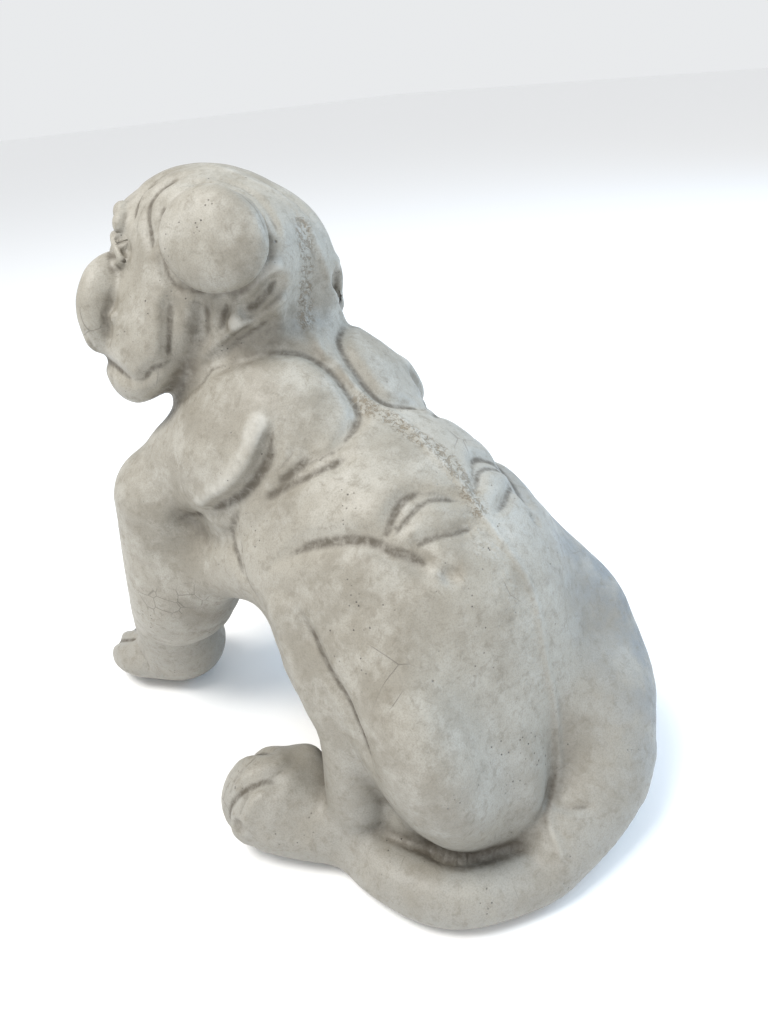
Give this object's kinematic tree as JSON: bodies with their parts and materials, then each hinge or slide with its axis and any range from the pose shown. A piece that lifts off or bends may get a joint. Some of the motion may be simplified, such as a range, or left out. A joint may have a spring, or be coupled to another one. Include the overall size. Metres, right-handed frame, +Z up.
{
  "type": "bulldog garden statue",
  "caption": "Seated bulldog cast in concrete for a garden, with folded skin, a tail curled round one haunch and flat soles to stand on.",
  "frame": {"origin": "on the ground under the middle of the figure's box", "axes": "the dog faces -Y, its left side is +X, +Z is up"},
  "size_m": [0.3092, 0.4259, 0.3911],
  "materials": {
    "concrete": "weathered cast concrete, warm light grey, slightly worn smooth on the high places"
  },
  "bodies": {
    "root": {"bulldog": "concrete"}
  },
  "joints": []
}
